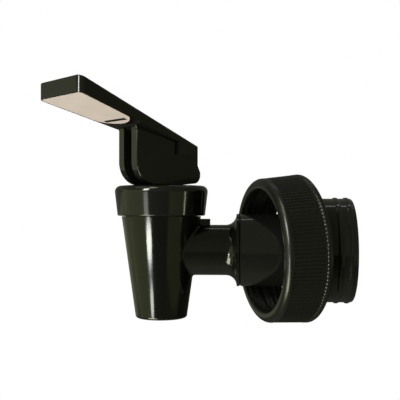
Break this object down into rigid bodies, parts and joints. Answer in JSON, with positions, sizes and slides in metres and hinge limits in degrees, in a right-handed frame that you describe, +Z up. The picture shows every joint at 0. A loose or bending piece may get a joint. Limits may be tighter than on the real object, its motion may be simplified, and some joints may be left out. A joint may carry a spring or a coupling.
{
  "type": "lever tap",
  "caption": "Black plastic lever tap for a refill container: conical spout, screw bonnet, swivelling pull lever with an ivory underside plate, ribbed coupling nut and tail spigot.",
  "frame": {"origin": "middle of the gasket's sealing face, on the axis of the tail spigot", "axes": "+X to the rear along the tail, into the container; +Z up along the valve stem"},
  "size_m": [0.1016, 0.0628, 0.0793],
  "materials": {
    "black_gloss": "glossy moulded black plastic",
    "nut_black": "satin moulded black plastic",
    "ivory": "satin ivory plastic",
    "silicone": "translucent white silicone",
    "seal_rubber": "matt black rubber",
    "spring_steel": "drawn stainless wire"
  },
  "bodies": {
    "tap": {"spout_body": "black_gloss", "bonnet": "black_gloss", "shank": "black_gloss", "shank_seal": "seal_rubber", "flange_gasket": "seal_rubber"},
    "valve_seat": {"seat_cup": "silicone", "return_spring": "spring_steel"},
    "stem": {"stem": "black_gloss"},
    "lever": {"lever": "black_gloss", "lever_insert": "ivory"},
    "nut": {"coupling_nut": "nut_black"}
  },
  "joints": [
    {"name": "seat_lift", "type": "slide", "parent": "tap", "child": "valve_seat", "axis": [0, 0, 1], "range_m": [0, 0.0037], "deforming": ["seat_cup", "return_spring"]},
    {"name": "lever_swivel", "type": "hinge", "parent": "valve_seat", "child": "stem", "pos_m": [-0.0487, 0, 0.0221], "axis": [0, 0, 1], "continuous": true},
    {"name": "lever_pull", "type": "hinge", "parent": "stem", "child": "lever", "pos_m": [-0.0487, 0, 0.0301], "axis": [0.7169, -0.6972, 0], "range_deg": [0, 30], "stiffness_Nm_per_rad": 0.5, "springref_deg": -22.92},
    {"name": "nut_spin", "type": "hinge", "parent": "tap", "child": "nut", "pos_m": [-0.015, -0.0032, 0], "axis": [0.9406, 0.3371, 0.0394], "continuous": true}
  ],
  "couplings": [
    {"joint": "seat_lift", "follows": "lever_pull", "m_per_rad": 0.0069}
  ]
}
